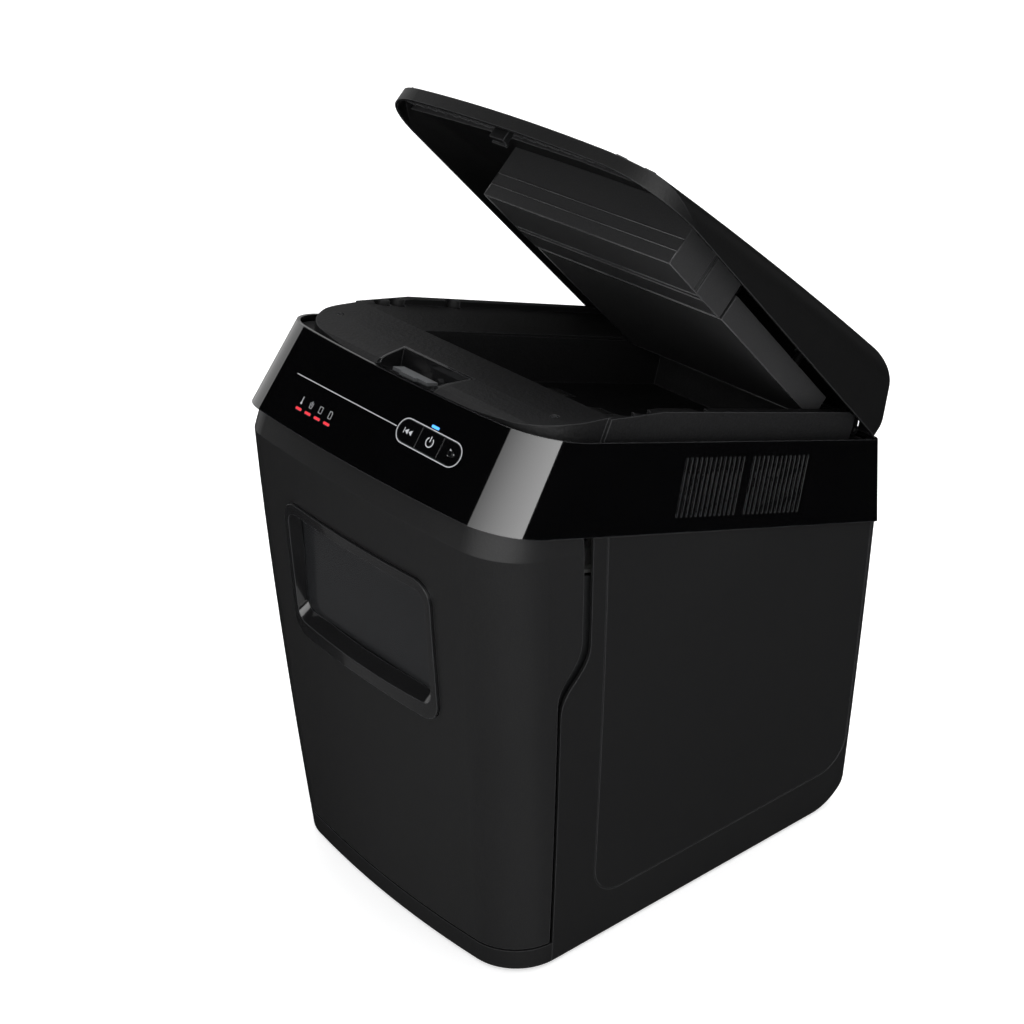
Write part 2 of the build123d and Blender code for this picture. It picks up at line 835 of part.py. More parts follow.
def cutter(e, offset, shaft_left, shaft_right):
    """One cutting cylinder: a shaft, its core and a row of toothed discs."""
    shape = rod(core_radius, paper_left, paper_right, e, cutter_n)
    shape += rod(shaft_radius, shaft_left, shaft_right, e, cutter_n)
    discs = []
    for index in range(disc_count):
        x = first_disc + offset + index * disc_pitch
        disc = extrude(Plane.YZ * toothed_disc(), amount=disc_width)
        discs.append(Pos(x - disc_width / 2, -e, cutter_n) * disc)
    shape += discs
    return on_slope(shape)


def comb(bar_e0, bar_e1, tip_e, low, high, offset):
    """A stripper comb: a bar with a finger between each pair of discs."""
    bar = slab(plate_left + 0.1, plate_right - 0.1, bar_e0, bar_e1, low, high)
    fingers = []
    root = bar_e0 + 0.5 if tip_e < bar_e0 else bar_e1 - 0.5
    for index in range(disc_count - 1):
        x = first_disc + offset + (index + 0.5) * disc_pitch
        fingers.append(slab(x - 1.8, x + 1.8, min(tip_e, root), max(tip_e, root), low, high))
    return on_slope(bar + fingers)


tie_spots = ((326.0, -100.0), (204.0, -101.0), (244.0, -104.0))
gear2_e = 217.0
gear2_n = -74.0
gear1_e = 181.0
gear1_n = -59.0
motor_e = 157.0
motor_n = -77.0
motor_radius = 34.0
motor_length = 88.0
outer_plate_x = -142.0


def cutter_plate(x0, rear):
    """One of the two steel plates that carry the cutting cylinders."""
    plate = slab(x0, x0 + plate_thickness, rear, plate_front, plate_low, plate_high)
    for e in (cutter_rear_e, cutter_front_e):
        plate -= rod(bush_radius + running_gap, x0 - 1, x0 + plate_thickness + 1, e, cutter_n)
    for e in roller_es:
        plate -= rod(small_shaft + running_gap, x0 - 1, x0 + plate_thickness + 1, e, roller_n)
    return plate


def left_plate():
    """The left plate, which also carries the motor and the gear axles."""
    x0 = plate_left - plate_thickness
    plate = cutter_plate(x0, plate_rear)
    plate -= rod(14, x0 - 1, plate_left + 1, motor_e, motor_n)
    for e, n in ((gear2_e, gear2_n), (gear1_e, gear1_n)):
        plate -= rod(small_shaft + running_gap, x0 - 1, plate_left + 1, e, n)
    return on_slope(plate)


def shaft_bushes():
    """The four bushes that the cutting cylinders run in."""
    bushes = []
    for e in (cutter_rear_e, cutter_front_e):
        for x0 in (plate_left - plate_thickness, plate_right):
            x1 = x0 + plate_thickness
            bore = rod(shaft_radius + running_gap, x0 - 1, x1 + 1, e, cutter_n)
            bushes.append(rod(bush_radius, x0, x1, e, cutter_n) - bore)
    return on_slope(Compound(children=bushes))


def tie_rods():
    """Three bars that space the two plates."""
    bars = [rod(4, plate_left + 0.05, plate_right - 0.05, e, n) for e, n in tie_spots]
    return on_slope(Compound(children=bars))


def mech_frame():
    """The divider plate that carries the cutting unit above the bin."""
    plate = slab(-184, 184, -14, 372, -115, -112)
    return on_slope(plate - slab(tray_left, tray_right, 250, 322, -120, -100))


# ---------------------------------------------------------------- gears, motor and paper feed
pressure_angle = math.radians(25)


def gear_face(teeth, module, backlash, turn):
    """An involute gear's outline, with the middle of a tooth at the given angle in degrees."""
    pitch = teeth * module / 2
    base = pitch * math.cos(pressure_angle)
    tip = pitch + module
    root = pitch - 1.25 * module
    involute = math.tan(pressure_angle) - pressure_angle
    half_tooth = math.pi / (2 * teeth) - backlash / (2 * pitch)
    start = max(base, root + 0.01)
    points = []
    for index in range(teeth):
        middle = math.radians(turn) + 2 * math.pi * index / teeth
        flank = []
        for step in range(6):
            radius = start + (tip - start) * step / 5
            slope = math.acos(min(1, base / radius))
            angle = half_tooth + involute - (math.tan(slope) - slope)
            flank.append((radius, angle))
        foot = (root, flank[0][1])
        rising = [(radius, middle - angle) for radius, angle in [foot, *flank]]
        falling = [(radius, middle + angle) for radius, angle in [*reversed(flank), foot]]
        points += [(radius * math.cos(a), radius * math.sin(a)) for radius, a in rising + falling]
    return make_face(Polyline(*points, close=True))


def gear(teeth, module, backlash, turn, x0, x1, e, n):
    """A gear wheel between two X positions in the slope frame."""
    wheel = extrude(Plane.YZ * gear_face(teeth, module, backlash, turn), amount=x1 - x0)
    return Pos(x0, -e, n) * wheel


def toward(e0, n0, e1, n1):
    """The direction from one axis to another in the gears' plane, in degrees."""
    return math.degrees(math.atan2(n1 - n0, e0 - e1))


sync_teeth = 16
sync_module = 2.5
main_teeth = 38
gear2_small_teeth = 12
gear2_module = 2.0
gear2_large_teeth = 40
gear1_small_teeth = 12
gear1_module = 1.5
gear1_large_teeth = 48
pinion_teeth = 12
pinion_module = 1.0
sync_x = (-101.0, -91.0)
main_x = (-113.0, -104.0)
second_x = (-124.0, -116.0)
first_x = (-134.0, -127.0)

to_front = toward(cutter_rear_e, cutter_n, cutter_front_e, cutter_n)
to_gear2 = toward(cutter_rear_e, cutter_n, gear2_e, gear2_n)
to_gear1 = toward(gear2_e, gear2_n, gear1_e, gear1_n)
to_motor = toward(gear1_e, gear1_n, motor_e, motor_n)


def sync_gear(e, turn, bore):
    """One of the two equal gears that turn the cylinders against each other."""
    wheel = gear(sync_teeth, sync_module, 0.3, turn, *sync_x, e, cutter_n)
    return on_slope(wheel - rod(bore, -200, 200, e, cutter_n))


def main_gear():
    """The last gear of the reduction, on the rear cylinder."""
    wheel = gear(main_teeth, gear2_module, 0.25, to_gear2, *main_x, cutter_rear_e, cutter_n)
    return on_slope(wheel - rod(shaft_radius, -200, 200, cutter_rear_e, cutter_n))


def gear_two():
    """The second compound gear."""
    facing = to_gear2 + 180 + 180 / gear2_small_teeth
    shape = gear(gear2_small_teeth, gear2_module, 0.25, facing, *main_x, gear2_e, gear2_n)
    shape += gear(gear2_large_teeth, gear1_module, 0.2, to_gear1, *second_x, gear2_e, gear2_n)
    shape += rod(8, second_x[1] - 1, main_x[0] + 1, gear2_e, gear2_n)
    return on_slope(shape - rod(small_shaft + running_gap, -200, 0, gear2_e, gear2_n))


def gear_one():
    """The first compound gear."""
    facing = to_gear1 + 180 + 180 / gear1_small_teeth
    shape = gear(gear1_small_teeth, gear1_module, 0.2, facing, *second_x, gear1_e, gear1_n)
    shape += gear(gear1_large_teeth, pinion_module, 0.15, to_motor, *first_x, gear1_e, gear1_n)
    shape += rod(6, first_x[1] - 1, second_x[0] + 1, gear1_e, gear1_n)
    return on_slope(shape - rod(small_shaft + running_gap, -200, 0, gear1_e, gear1_n))


def gear_axles():
    """The fixed axles of the two compound gears."""
    axles = []
    for e, n in ((gear2_e, gear2_n), (gear1_e, gear1_n)):
        axles.append(rod(small_shaft, outer_plate_x, plate_left, e, n))
    return on_slope(Compound(children=axles))


def gearbox_plate():
    """The outer plate of the gearbox."""
    plate = slab(outer_plate_x, outer_plate_x + plate_thickness, 130, 250, -108, -36)
    for e, n in ((gear2_e, gear2_n), (gear1_e, gear1_n)):
        plate -= rod(small_shaft + running_gap, outer_plate_x - 1, outer_plate_x + 4, e, n)
    return on_slope(plate)


motor_shaft_radius = 3.0


def motor():
    """The motor's can with its two end bearings."""
    can = rod(motor_radius, plate_left + 0.1, plate_left + motor_length, motor_e, motor_n)
    can += rod(12, plate_left - 2.5, plate_left + 0.2, motor_e, motor_n)
    return on_slope(can - rod(motor_shaft_radius + running_gap, -120, 60, motor_e, motor_n))


def motor_shaft():
    """The motor's shaft with its pinion."""
    facing = to_motor + 180 + 180 / pinion_teeth
    shaft = rod(motor_shaft_radius, first_x[0] - 1, plate_left + motor_length + 20, motor_e, motor_n)
    return on_slope(shaft + gear(pinion_teeth, pinion_module, 0.15, facing, *first_x, motor_e, motor_n))


def cooling_fan():
    """The fan on the motor's free end."""
    x0 = plate_left + motor_length + 5
    hub = rod(9, x0, x0 + 12, motor_e, motor_n)
    blades = []
    for index in range(7):
        blade = Pos(0, 19, 0) * Rot(0, 35, 0) * Box(1.6, 22, 13)
        blades.append(Pos(x0 + 6, -motor_e, motor_n) * Rot(index * 360 / 7, 0, 0) * blade)
    fan = hub + blades
    return on_slope(fan - rod(motor_shaft_radius, x0 - 1, x0 + 13, motor_e, motor_n))


pulley_radius = 11.0
pulley_x = (175.5, 181.5)


def feed_roller(index):
    """One feed roller's shaft, with the pulley on its right end."""
    e = roller_es[index]
    shaft = rod(small_shaft, plate_left - plate_thickness - 1, pulley_x[1], e, roller_n)
    shaft += rod(pulley_radius, *pulley_x, e, roller_n)
    for x in tyre_xs:
        shaft += rod(9, x - tyre_half, x + tyre_half, e, roller_n)
    return on_slope(shaft)


def roller_tyres(index):
    """The four rubber tyres of one feed roller."""
    e = roller_es[index]
    tyres = []
    for x in tyre_xs:
        tyre = rod(tyre_radius, x - tyre_half, x + tyre_half, e, roller_n)
        tyres.append(tyre - rod(9, x - tyre_half - 1, x + tyre_half + 1, e, roller_n))
    return on_slope(Compound(children=tyres))


def drive_pulley():
    """The pulley on the rear cylinder that drives the feed belt."""
    wheel = rod(pulley_radius, *pulley_x, cutter_rear_e, cutter_n)
    return on_slope(wheel - rod(shaft_radius, 170, 190, cutter_rear_e, cutter_n))


def belt_loop(radius, x0, x1):
    """The solid hull of a belt round the three pulleys."""
    spots = [(cutter_rear_e, cutter_n)] + [(e, roller_n) for e in roller_es]
    circles = [Pos(-e, n) * Circle(radius) for e, n in spots]
    loop = None
    for index in range(3):
        a = spots[index]
        b = spots[(index + 1) % 3]
        run = Vector(a[0] * -1, a[1]) - Vector(b[0] * -1, b[1])
        middle = Vector((-a[0] - b[0]) / 2, (a[1] + b[1]) / 2)
        angle = math.degrees(math.atan2(run.Y, run.X))
        bar = Pos(middle.X, middle.Y) * Rot(0, 0, angle) * Rectangle(run.length, 2 * radius)
        loop = bar + circles[index] if loop is None else loop + bar + circles[index]
    core = make_face(Polyline(*[(-e, n) for e, n in spots], close=True))
    return Pos(x0, 0, 0) * extrude(Plane.YZ * (loop + core), amount=x1 - x0)


def feed_belt():
    """The belt from the rear cylinder to the two feed rollers."""
    gap = running_gap
    return on_slope(belt_loop(pulley_radius + 1.6, 176, 181) - belt_loop(pulley_radius + gap, 170, 190))


# ---------------------------------------------------------------- electrics
def power_board():
    """The power board beside the tray, with its larger parts."""
    board = slab(-172, -96, 30, 112, -60, -58.4)
    board += slab(-165, -137, 40, 70, -58.5, -34)
    board += slab(-120, -104, 80, 100, -58.5, -42)
    for e in (85, 100):
        board += Pos(-150, -e, -49) * Cylinder(6, 19)
    return on_slope(board)


def fitting_shell(x, size, depth):
    """A rear fitting's body with the thin flange that covers its hole."""
    half = size[0] / 2
    tall = size[1] / 2
    z = rear_fitting_z
    shape = block(x - half, x + half, flange_end - depth, flange_end, z - tall, z + tall)
    lap = block(x - half - flange_lap, x + half + flange_lap, flange_start, flange_end, z - tall - flange_lap,
                z + tall + flange_lap)
    return shape + lap


inlet_depth = 27.0
inlet_wall = 2.0
inlet_floor = 6.0
pin_spots = ((-7.0, -2.0), (0.0, 2.0), (7.0, -2.0))
pin_length = 17.0


def power_inlet():
    """The appliance inlet in the rear of the head, with its three pins."""
    z = rear_fitting_z
    half = inlet_size[0] / 2 - inlet_wall
    tall = inlet_size[1] / 2 - inlet_wall
    floor = flange_end - inlet_depth + inlet_floor
    shape = fitting_shell(inlet_x, inlet_size, inlet_depth)
    shape -= block(inlet_x - half, inlet_x + half, floor, 300, z - tall, z + tall)
    for dx, dz in pin_spots:
        x = inlet_x + dx
        shape += block(x - 1, x + 1, floor - 1, floor - 1 + pin_length, z + dz - 2, z + dz + 2)
    return shape


rocker_depth = 25.0
rocker_wall = 2.5
rocker_axis_y = 229.0
rocker_pin = 1.5
rocker_length = 24.0
rocker_rest_tip = 8.0
rocker_section = ((-4.0, -6.5), (-4.0, 6.5), (8.8, 6.8), (6.6, 0.0), (8.8, -6.8))


def rocker_frame():
    """The frame that the power rocker turns in."""
    z = rear_fitting_z
    half = rocker_size[0] / 2 - rocker_wall
    tall = rocker_size[1] / 2 - rocker_wall
    floor = flange_end - rocker_depth + rocker_wall
    shape = fitting_shell(rocker_x, rocker_size, rocker_depth)
    shape -= block(rocker_x - half, rocker_x + half, floor, 300, z - tall, z + tall)
    bore = Cylinder(rocker_pin + running_gap, rocker_size[0] - 1)
    return shape - Pos(rocker_x, rocker_axis_y, z) * Rot(0, 90, 0) * bore


def power_rocker():
    """The power rocker, tipped to its off side."""
    face = side_plane * make_face(Polyline(*rocker_section, close=True))
    rocker = extrude(face, amount=rocker_length / 2, both=True)
    rocker += Rot(0, 90, 0) * Cylinder(rocker_pin, rocker_size[0] - 1.5)
    return Pos(rocker_x, rocker_axis_y, rear_fitting_z) * Rot(-rocker_rest_tip, 0, 0) * rocker


switch_x = 130.0
switch_z = 324.0


def bin_switch():
    """The fixed body of the switch that the closed bin presses."""
    shape = block(switch_x - 10, switch_x + 10, 214, 226, switch_z - 6, switch_z + 6)
    return shape - block(switch_x - 5, switch_x + 1, 209, 222, switch_z - 3, switch_z + 3)


save(head_band(), "head_band")
for key_index, key_name in enumerate(key_names):
    save(control_key(key_index), key_name)
save(warning_lenses(), "warning_lenses")
save(power_lens(), "power_lens")
save(control_board(), "control_board")
save(bin_front(), "bin_front")
save(window_bezel(), "window_bezel")
save(window_pane(), "window_pane")
save(bin_tub(), "bin_tub")
save(cabinet_side(-1), "left_side")
save(cabinet_side(1), "right_side")
save(rear_panel(), "rear_panel")
save(base_tray(), "base_tray")
save(feet(), "feet")
save(bin_rails(), "bin_rails")
save(deck(), "deck")
save(latch_tray(), "latch_tray")
save(lid_catch(), "lid_catch")
save(catch_spring(), "catch_spring")
save(deck_screws(), "deck_screws")
save(lid_shell(), "lid_shell")
save(feed_chute(), "feed_chute")
save(presser_plate(), "presser_plate")
save(presser_springs(), "presser_springs")
save(hinge_pins(), "hinge_pins")
save(cutter(cutter_rear_e, 0, main_x[0] - 1, pulley_x[1]), "rear_cutter")
save(cutter(cutter_front_e, disc_pitch / 2, sync_x[0] - 1, plate_right + plate_thickness + 2), "front_cutter")
save(comb(236, 241, cutter_rear_e - core_radius - 1.2, -76, -60, 0), "rear_comb")
save(comb(329, 334, cutter_front_e + core_radius + 1.2, -66, -54, disc_pitch / 2), "front_comb")
save(left_plate(), "left_plate")
save(on_slope(cutter_plate(plate_right, right_plate_rear)), "right_plate")
save(shaft_bushes(), "shaft_bushes")
save(tie_rods(), "tie_rods")
save(mech_frame(), "mech_frame")
save(sync_gear(cutter_rear_e, to_front, shaft_radius), "rear_sync_gear")
save(sync_gear(cutter_front_e, to_front + 180 + 180 / sync_teeth, shaft_radius), "front_sync_gear")
save(main_gear(), "main_gear")
save(gear_two(), "second_gear")
save(gear_one(), "first_gear")
save(gear_axles(), "gear_axles")
save(gearbox_plate(), "gearbox_plate")
save(motor(), "motor")
save(motor_shaft(), "motor_shaft")
save(cooling_fan(), "cooling_fan")
save(feed_roller(0), "front_feed_roller")
save(feed_roller(1), "rear_feed_roller")
save(roller_tyres(0), "front_roller_tyres")
save(roller_tyres(1), "rear_roller_tyres")
save(drive_pulley(), "drive_pulley")
save(feed_belt(), "feed_belt")
save(power_board(), "power_board")
save(power_inlet(), "power_inlet")
save(rocker_frame(), "rocker_frame")
save(power_rocker(), "power_rocker")
save(bin_switch(), "bin_switch")
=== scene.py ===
import math

import bmesh
import bpy
from mathutils import Matrix, Vector
from mathutils.bvhtree import BVHTree


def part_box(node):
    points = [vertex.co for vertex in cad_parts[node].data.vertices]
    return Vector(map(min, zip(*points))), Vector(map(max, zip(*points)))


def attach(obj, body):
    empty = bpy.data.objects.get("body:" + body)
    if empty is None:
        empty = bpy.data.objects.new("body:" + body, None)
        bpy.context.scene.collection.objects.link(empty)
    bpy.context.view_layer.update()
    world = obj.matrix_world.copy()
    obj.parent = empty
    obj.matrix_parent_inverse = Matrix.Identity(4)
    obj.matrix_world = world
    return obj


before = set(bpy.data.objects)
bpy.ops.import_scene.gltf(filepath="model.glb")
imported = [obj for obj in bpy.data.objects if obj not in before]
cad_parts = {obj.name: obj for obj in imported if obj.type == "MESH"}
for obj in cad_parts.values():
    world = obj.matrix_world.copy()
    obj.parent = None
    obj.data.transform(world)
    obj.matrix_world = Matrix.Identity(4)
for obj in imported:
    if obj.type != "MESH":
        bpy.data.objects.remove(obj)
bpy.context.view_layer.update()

# The camera stands where a person about to load paper would, in front of the right corner and above the head.
# It has a long lens, so the cabinet's verticals draw together only a little towards the floor.
camera_place = Vector((1.2526, -1.0771, 1.1997))
camera_right = Vector((0.6375, 0.7703, -0.0150))
camera_up = Vector((-0.3454, 0.3032, 0.8882))
camera_back = Vector((0.6887, -0.5611, 0.4593))
camera_lens = 69.28
camera_sensor = 36.0

camera = bpy.data.objects.new("camera", bpy.data.cameras.new("camera"))
camera.data.lens = camera_lens
camera.data.sensor_width = camera_sensor
camera_turn = Matrix((camera_right, camera_up, camera_back)).transposed()
camera.matrix_world = Matrix.Translation(camera_place) @ camera_turn.to_4x4()
bpy.context.scene.collection.objects.link(camera)
bpy.context.scene.camera = camera


# The floor is a seamless white studio sheet that runs out past every view.
# It glows faintly, so that it stays plain white right up to the cabinet's foot.
floor_reach = 16.0
floor_white = (0.88, 0.88, 0.885, 1)
floor_glow = 0.55

floor_form = bmesh.new()
bmesh.ops.create_grid(floor_form, x_segments=8, y_segments=8, size=floor_reach)
floor = bpy.data.objects.new("floor", bpy.data.meshes.new("floor"))
floor_form.to_mesh(floor.data)
floor_form.free()
bpy.context.scene.collection.objects.link(floor)
floor_finish = bpy.data.materials.new("floor_sheet")
floor_finish.use_nodes = True
floor_shader = floor_finish.node_tree.nodes["Principled BSDF"]
floor_shader.inputs["Base Color"].default_value = floor_white
floor_shader.inputs["Roughness"].default_value = 0.9
floor_shader.inputs["Specular IOR Level"].default_value = 0.0
floor_shader.inputs["Emission Color"].default_value = (1, 1, 1, 1)
floor_shader.inputs["Emission Strength"].default_value = floor_glow
floor.data.materials.append(floor_finish)
floor.visible_glossy = False

room = bpy.data.worlds.new("studio")
room.use_nodes = True
room_light = room.node_tree.nodes["Background"]
room_light.inputs["Color"].default_value = (1, 1, 1, 1)
room_light.inputs["Strength"].default_value = 0.75
bpy.context.scene.world = room
room.cycles_visibility.glossy = False
bpy.context.scene.view_settings.view_transform = "Standard"
bpy.context.scene.view_settings.look = "None"


# Studio light: a wide soft panel overhead does most of the work, with a weak fill from the front.
# Both hang clear of the directions that the polished head mirrors towards a standing person.
light_aim = Vector((0.0, 0.0, 0.35))
studio_lights = (
    ("overhead", (-0.3, 0.6, 2.7), (2.6, 1.6), 30, True),
    ("front_fill", (0.9, -3.0, 1.1), (0.7, 1.9), 9, False),
    ("right_fill", (3.0, 0.3, 1.3), (0.6, 2.0), 7, False),
)
for light_name, light_place, light_size, light_power, mirrored in studio_lights:
    lamp = bpy.data.lights.new(light_name, "AREA")
    lamp.shape = "RECTANGLE"
    lamp.size, lamp.size_y = light_size
    lamp.energy = light_power
    holder = bpy.data.objects.new(light_name, lamp)
    bpy.context.scene.collection.objects.link(holder)
    holder.location = light_place
    holder.visible_glossy = mirrored
    holder.rotation_euler = (light_aim - Vector(light_place)).to_track_quat("-Z", "Y").to_euler()


# Curved reflector boards stand round the object for its polished parts to mirror.
# Each fades in along its width and ends in a clean edge, which gives the gloss its bright, sharp-edged
# flares.
board_distance = 3.0
board_steps = 24
reflector_boards = (
    ("right_board", -14.0, 82.0, 0.6, 3.4, 46.0),
    ("left_board", -128.0, -67.2, -0.3, 2.4, 9.0),
    ("rear_board", 196.0, 166.0, 0.2, 1.1, 1.4),
    ("low_left_board", -20.0, -58.0, -3.4, -0.9, 1.5),
    ("low_right_board", 30.0, 92.0, -3.6, -0.9, 1.6),
)
for board_name, board_start, board_stop, board_low, board_high, board_glow in reflector_boards:
    board_form = bmesh.new()
    columns = []
    for step in range(board_steps + 1):
        angle = math.radians(board_start + (board_stop - board_start) * step / board_steps)
        across = (board_distance * math.sin(angle), -board_distance * math.cos(angle))
        columns.append([board_form.verts.new((*across, height)) for height in (board_low, board_high)])
    fade = board_form.loops.layers.uv.new("fade")
    for step in range(board_steps):
        here, there = columns[step], columns[step + 1]
        face = board_form.faces.new((here[0], there[0], there[1], here[1]))
        for loop, share in zip(face.loops, (step, step + 1, step + 1, step)):
            loop[fade].uv = (share / board_steps, 0.5)
    board = bpy.data.objects.new(board_name, bpy.data.meshes.new(board_name))
    board_form.to_mesh(board.data)
    board_form.free()
    bpy.context.scene.collection.objects.link(board)
    board_finish = bpy.data.materials.new(board_name)
    board_finish.use_nodes = True
    board_tree = board_finish.node_tree
    board_tree.nodes.clear()
    board_fade = board_tree.nodes.new("ShaderNodeUVMap")
    board_fade.uv_map = "fade"
    board_ramp = board_tree.nodes.new("ShaderNodeValToRGB")
    board_ramp.color_ramp.elements[0].color = (0, 0, 0, 1)
    board_ramp.color_ramp.elements[1].color = (1, 1, 1, 1)
    board_ramp.color_ramp.elements.new(0.55).color = (0.095, 0.095, 0.095, 1)
    board_shine = board_tree.nodes.new("ShaderNodeEmission")
    board_shine.inputs["Strength"].default_value = board_glow
    board_out = board_tree.nodes.new("ShaderNodeOutputMaterial")
    board_tree.links.new(board_fade.outputs["UV"], board_ramp.inputs["Fac"])
    board_tree.links.new(board_ramp.outputs["Color"], board_shine.inputs["Color"])
    board_tree.links.new(board_shine.outputs["Emission"], board_out.inputs["Surface"])
    board.data.materials.append(board_finish)
    board.visible_camera = False
    board.visible_diffuse = False
    board.visible_shadow = False
    board.visible_transmission = False


# The cabinet, its rear panel and the bin front are injection-moulded ABS in satin black.
# The mould is spark-eroded, which leaves a fine even grain, and every edge has the mould's small radius.
# The grey and the strength of the highlight painted along every sharp edge.
edge_highlight_grey = (0.085, 0.086, 0.090, 1)
edge_highlight_share = 0.75


def painted_edge_highlight(finish, radius, colour, amount):
    """Blends a finish towards a fixed grey along its sharp edges: a painted edge highlight that lightens the
    dark finishes and darkens the pale ones.
    """
    nodes = finish.node_tree.nodes
    links = finish.node_tree.links
    true_face = nodes.new("ShaderNodeNewGeometry")
    bend = nodes.new("ShaderNodeVectorMath")
    bend.operation = "DOT_PRODUCT"
    links.new(radius.outputs["Normal"], bend.inputs[0])
    links.new(true_face.outputs["Normal"], bend.inputs[1])
    # Mask of the painted edge highlight, strongest where the rounded normal bends away from the true face.
    edge_highlight_mask = nodes.new("ShaderNodeMapRange")
    edge_highlight_mask.inputs["From Min"].default_value = 0.995
    edge_highlight_mask.inputs["From Max"].default_value = 0.86
    edge_highlight_mask.inputs["To Max"].default_value = amount
    links.new(bend.outputs["Value"], edge_highlight_mask.inputs["Value"])
    edge_highlight_blend = nodes.new("ShaderNodeMix")
    edge_highlight_blend.data_type = "RGBA"
    edge_highlight_blend.inputs[7].default_value = edge_highlight_grey
    links.new(edge_highlight_mask.outputs["Result"], edge_highlight_blend.inputs["Factor"])
    links.new(colour, edge_highlight_blend.inputs[6])
    links.new(edge_highlight_blend.outputs[2], nodes["Principled BSDF"].inputs["Base Color"])


def moulded(name, colour, rough, grain_size, grain_depth, edge, specular, patchy):
    """A moulded plastic: fine grain, slow changes of sheen, rounded edges with a painted highlight along
    them.
    """
    finish = bpy.data.materials.new(name)
    finish.use_nodes = True
    nodes = finish.node_tree.nodes
    links = finish.node_tree.links
    shader = nodes["Principled BSDF"]
    shader.inputs["Specular IOR Level"].default_value = specular
    place = nodes.new("ShaderNodeTexCoord")
    grain = nodes.new("ShaderNodeTexNoise")
    grain.inputs["Scale"].default_value = 1 / grain_size
    grain.inputs["Detail"].default_value = 2.5
    cloud = nodes.new("ShaderNodeTexNoise")
    cloud.inputs["Scale"].default_value = 7
    cloud.inputs["Detail"].default_value = 4
    pits = nodes.new("ShaderNodeTexVoronoi")
    pits.inputs["Scale"].default_value = 0.4 / grain_size
    for pattern in (grain, cloud, pits):
        links.new(place.outputs["Object"], pattern.inputs["Vector"])
    sheen = nodes.new("ShaderNodeMapRange")
    sheen.inputs["From Min"].default_value = 0.3
    sheen.inputs["From Max"].default_value = 0.7
    sheen.inputs["To Min"].default_value = rough - patchy
    sheen.inputs["To Max"].default_value = rough + patchy
    links.new(cloud.outputs["Fac"], sheen.inputs["Value"])
    links.new(sheen.outputs["Result"], shader.inputs["Roughness"])
    tone = nodes.new("ShaderNodeValToRGB")
    tone.color_ramp.elements[0].position = 0.3
    tone.color_ramp.elements[1].position = 0.7
    tone.color_ramp.elements[0].color = (*[part * 0.78 for part in colour], 1)
    tone.color_ramp.elements[1].color = (*[part * 1.26 for part in colour], 1)
    links.new(grain.outputs["Fac"], tone.inputs["Fac"])
    radius = nodes.new("ShaderNodeBevel")
    radius.samples = 4
    radius.inputs["Radius"].default_value = edge
    # The sharp edges get a painted highlight in the base colour.
    painted_edge_highlight(finish, radius, tone.outputs["Color"], edge_highlight_share)
    relief = nodes.new("ShaderNodeBump")
    relief.inputs["Strength"].default_value = 0.55
    relief.inputs["Distance"].default_value = grain_depth
    height = nodes.new("ShaderNodeMath")
    height.operation = "ADD"
    links.new(grain.outputs["Fac"], height.inputs[0])
    links.new(pits.outputs["Distance"], height.inputs[1])
    links.new(height.outputs["Value"], relief.inputs["Height"])
    links.new(radius.outputs["Normal"], relief.inputs["Normal"])
    links.new(relief.outputs["Normal"], shader.inputs["Normal"])
    return finish


def dress(finish, *names):
    """Gives CAD nodes a finish in place of the plain one they arrive with."""
    for name in names:
        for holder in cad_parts[name].material_slots:
            holder.material = finish


cabinet_black = moulded("cabinet_black", (0.0125, 0.0125, 0.013), 0.46, 0.0007, 0.00010, 0.0009, 0.28, 0.05)
dress(cabinet_black, "left_side", "right_side", "rear_panel", "base_tray")
front_black = moulded("front_black", (0.0150, 0.0150, 0.0155), 0.40, 0.0007, 0.00008, 0.0012, 0.38, 0.04)
dress(front_black, "bin_front")
tub_black = moulded("tub_black", (0.028, 0.029, 0.030), 0.55, 0.0012, 0.0001, 0.0006, 0.3, 0.06)
dress(tub_black, "bin_tub", "rocker_frame", "power_rocker", "bin_switch", "power_inlet")


